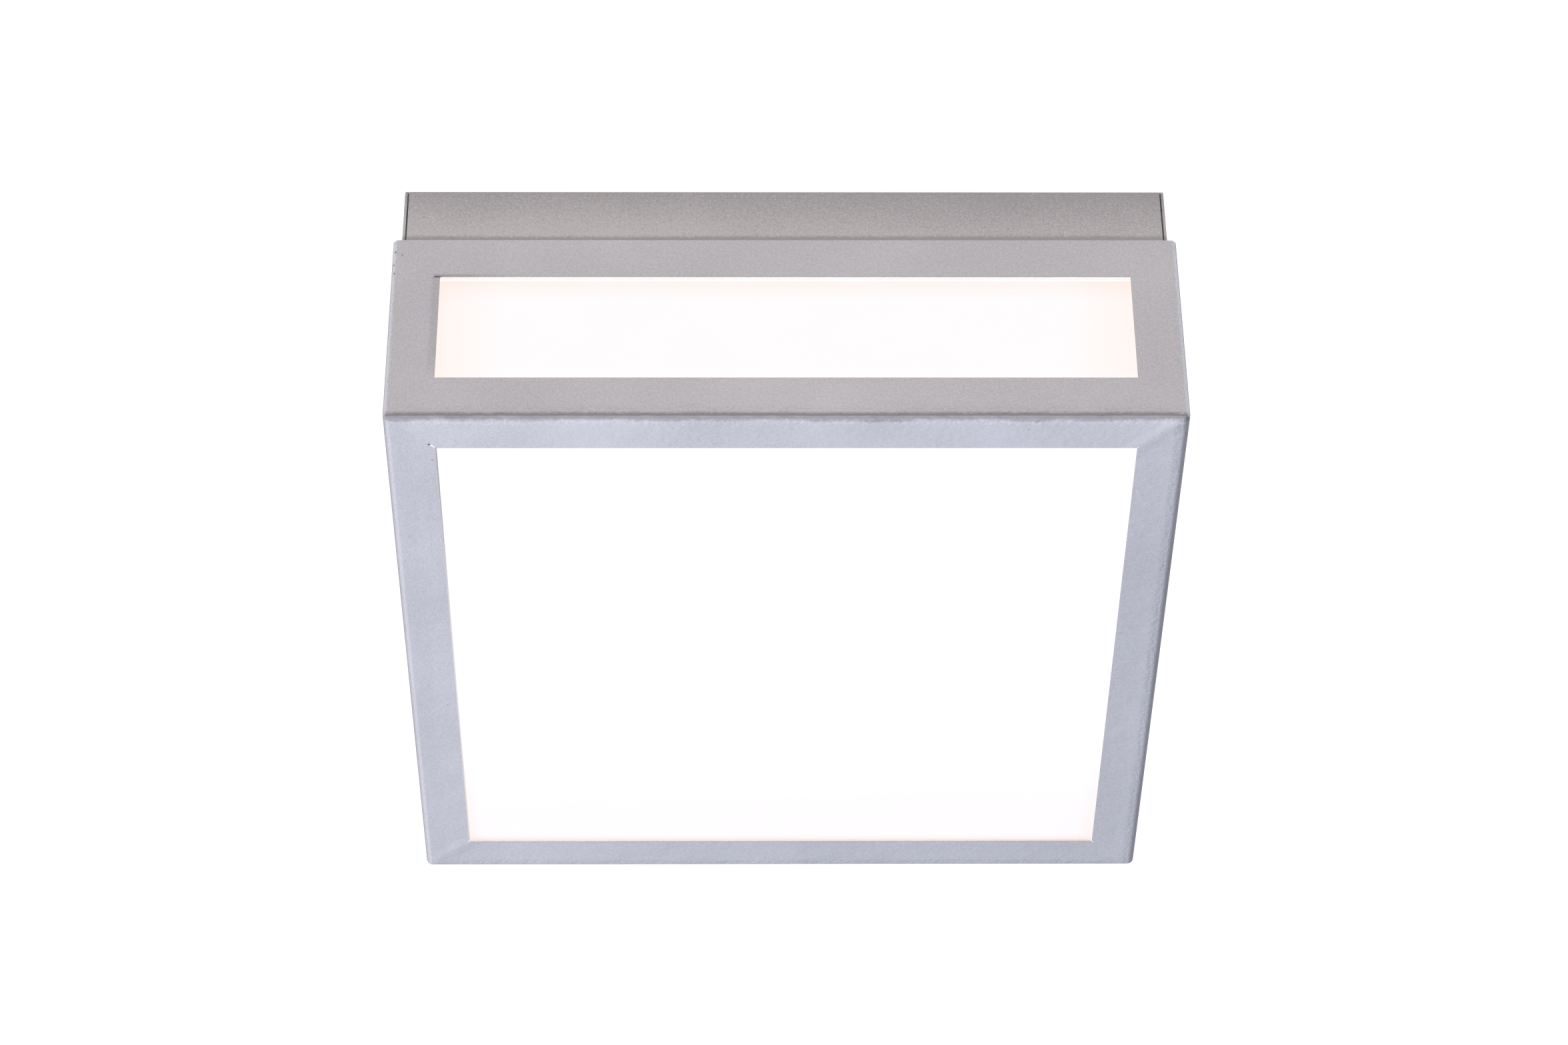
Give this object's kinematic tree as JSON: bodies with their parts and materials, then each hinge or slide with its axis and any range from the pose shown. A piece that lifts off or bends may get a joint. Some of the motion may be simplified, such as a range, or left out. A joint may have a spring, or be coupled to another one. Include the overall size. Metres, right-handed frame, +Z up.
{
  "type": "outdoor wall lantern",
  "caption": "Square surface-mounted outdoor wall light: shallow grey metal tray with a box frame of the same metal over it and opal windows in the front and in every side.",
  "frame": {"origin": "centre of the lantern's back face, on the wall", "axes": "+X to the right as seen from in front of the wall, +Y into the wall, +Z up; the lantern stands out of the wall towards -Y"},
  "size_m": [0.2444, 0.093, 0.24],
  "materials": {
    "frame_paint": "satin silver-grey powder coat",
    "tray_paint": "matt silver-grey powder coat",
    "reflector_paint": "gloss white paint",
    "opal": "satin opal acrylic, lit from inside",
    "foam": "matt black sponge rubber",
    "rubber_black": "matt",
    "silicone": "translucent satin",
    "zinc": "zinc plated",
    "stainless": "polished stainless",
    "brass": "bright",
    "holder_plastic": "satin white thermoset",
    "terminal_plastic": "natural polyamide",
    "cap_nickel": "nickel plated",
    "cap_glass": "black vitrite",
    "lamp_plastic": "satin white",
    "lamp_opal": "satin opal, lit",
    "led_board": "white solder mask on aluminium",
    "wire_brown": "satin PVC",
    "wire_blue": "satin PVC",
    "wire_green": "satin PVC, green and yellow"
  },
  "bodies": {
    "base": {"wall_tray": "tray_paint", "foam_seal": "foam", "cable_grommet": "rubber_black", "reflector": "reflector_paint", "reflector_pillars": "zinc", "reflector_screws": "zinc", "wire_grommets": "rubber_black", "bracket_upper": "zinc", "bracket_lower": "zinc", "bracket_screws": "zinc", "bracket_nuts": "zinc", "holder_screws": "zinc", "lampholder_upper": "holder_plastic", "lampholder_lower": "holder_plastic", "lampholder_shell_upper": "cap_nickel", "lampholder_shell_lower": "cap_nickel", "lampholder_contact_upper": "brass", "lampholder_contact_lower": "brass", "terminal_block": "terminal_plastic", "terminal_clamps": "brass", "terminal_screws": "zinc", "earth_stud": "brass", "earth_nuts": "brass", "earth_lug": "cap_nickel", "wire_live_upper": "wire_brown", "wire_live_lower": "wire_brown", "wire_neutral_upper": "wire_blue", "wire_neutral_lower": "wire_blue", "wire_earth": "wire_green", "rivet_nut_left": "zinc", "rivet_nut_right": "zinc"},
    "cover": {"frame_side_top": "frame_paint", "frame_side_left": "frame_paint", "frame_side_bottom": "frame_paint", "frame_side_right": "frame_paint", "opal_tub": "opal", "silicone_bead": "silicone"},
    "lamp_upper": {"lamp_contact_upper": "brass", "lamp_insulator_upper": "cap_glass", "lamp_cap_upper": "cap_nickel", "lamp_body_upper": "lamp_plastic", "lamp_led_board_upper": "led_board", "lamp_globe_upper": "lamp_opal"},
    "lamp_lower": {"lamp_contact_lower": "brass", "lamp_insulator_lower": "cap_glass", "lamp_cap_lower": "cap_nickel", "lamp_body_lower": "lamp_plastic", "lamp_led_board_lower": "led_board", "lamp_globe_lower": "lamp_opal"},
    "screw_left": {"cover_screw_left": "stainless"},
    "screw_right": {"cover_screw_right": "stainless"}
  },
  "joints": [
    {"name": "cover_slide", "type": "slide", "parent": "base", "child": "cover", "axis": [0, -1, 0], "range_m": [0, 0.1]},
    {"name": "upper_lamp_slide", "type": "slide", "parent": "base", "child": "lamp_upper", "axis": [1, 0, 0], "range_m": [0, 0.03]},
    {"name": "lower_lamp_slide", "type": "slide", "parent": "base", "child": "lamp_lower", "axis": [-1, 0, 0], "range_m": [0, 0.03]},
    {"name": "left_screw_turn", "type": "hinge", "parent": "base", "child": "screw_left", "pos_m": [-0.115, -0.0285, 0], "axis": [-1, 0, 0], "range_deg": [0, 630]},
    {"name": "right_screw_turn", "type": "hinge", "parent": "base", "child": "screw_right", "pos_m": [0.115, -0.0285, 0], "axis": [1, 0, 0], "range_deg": [0, 630]}
  ]
}
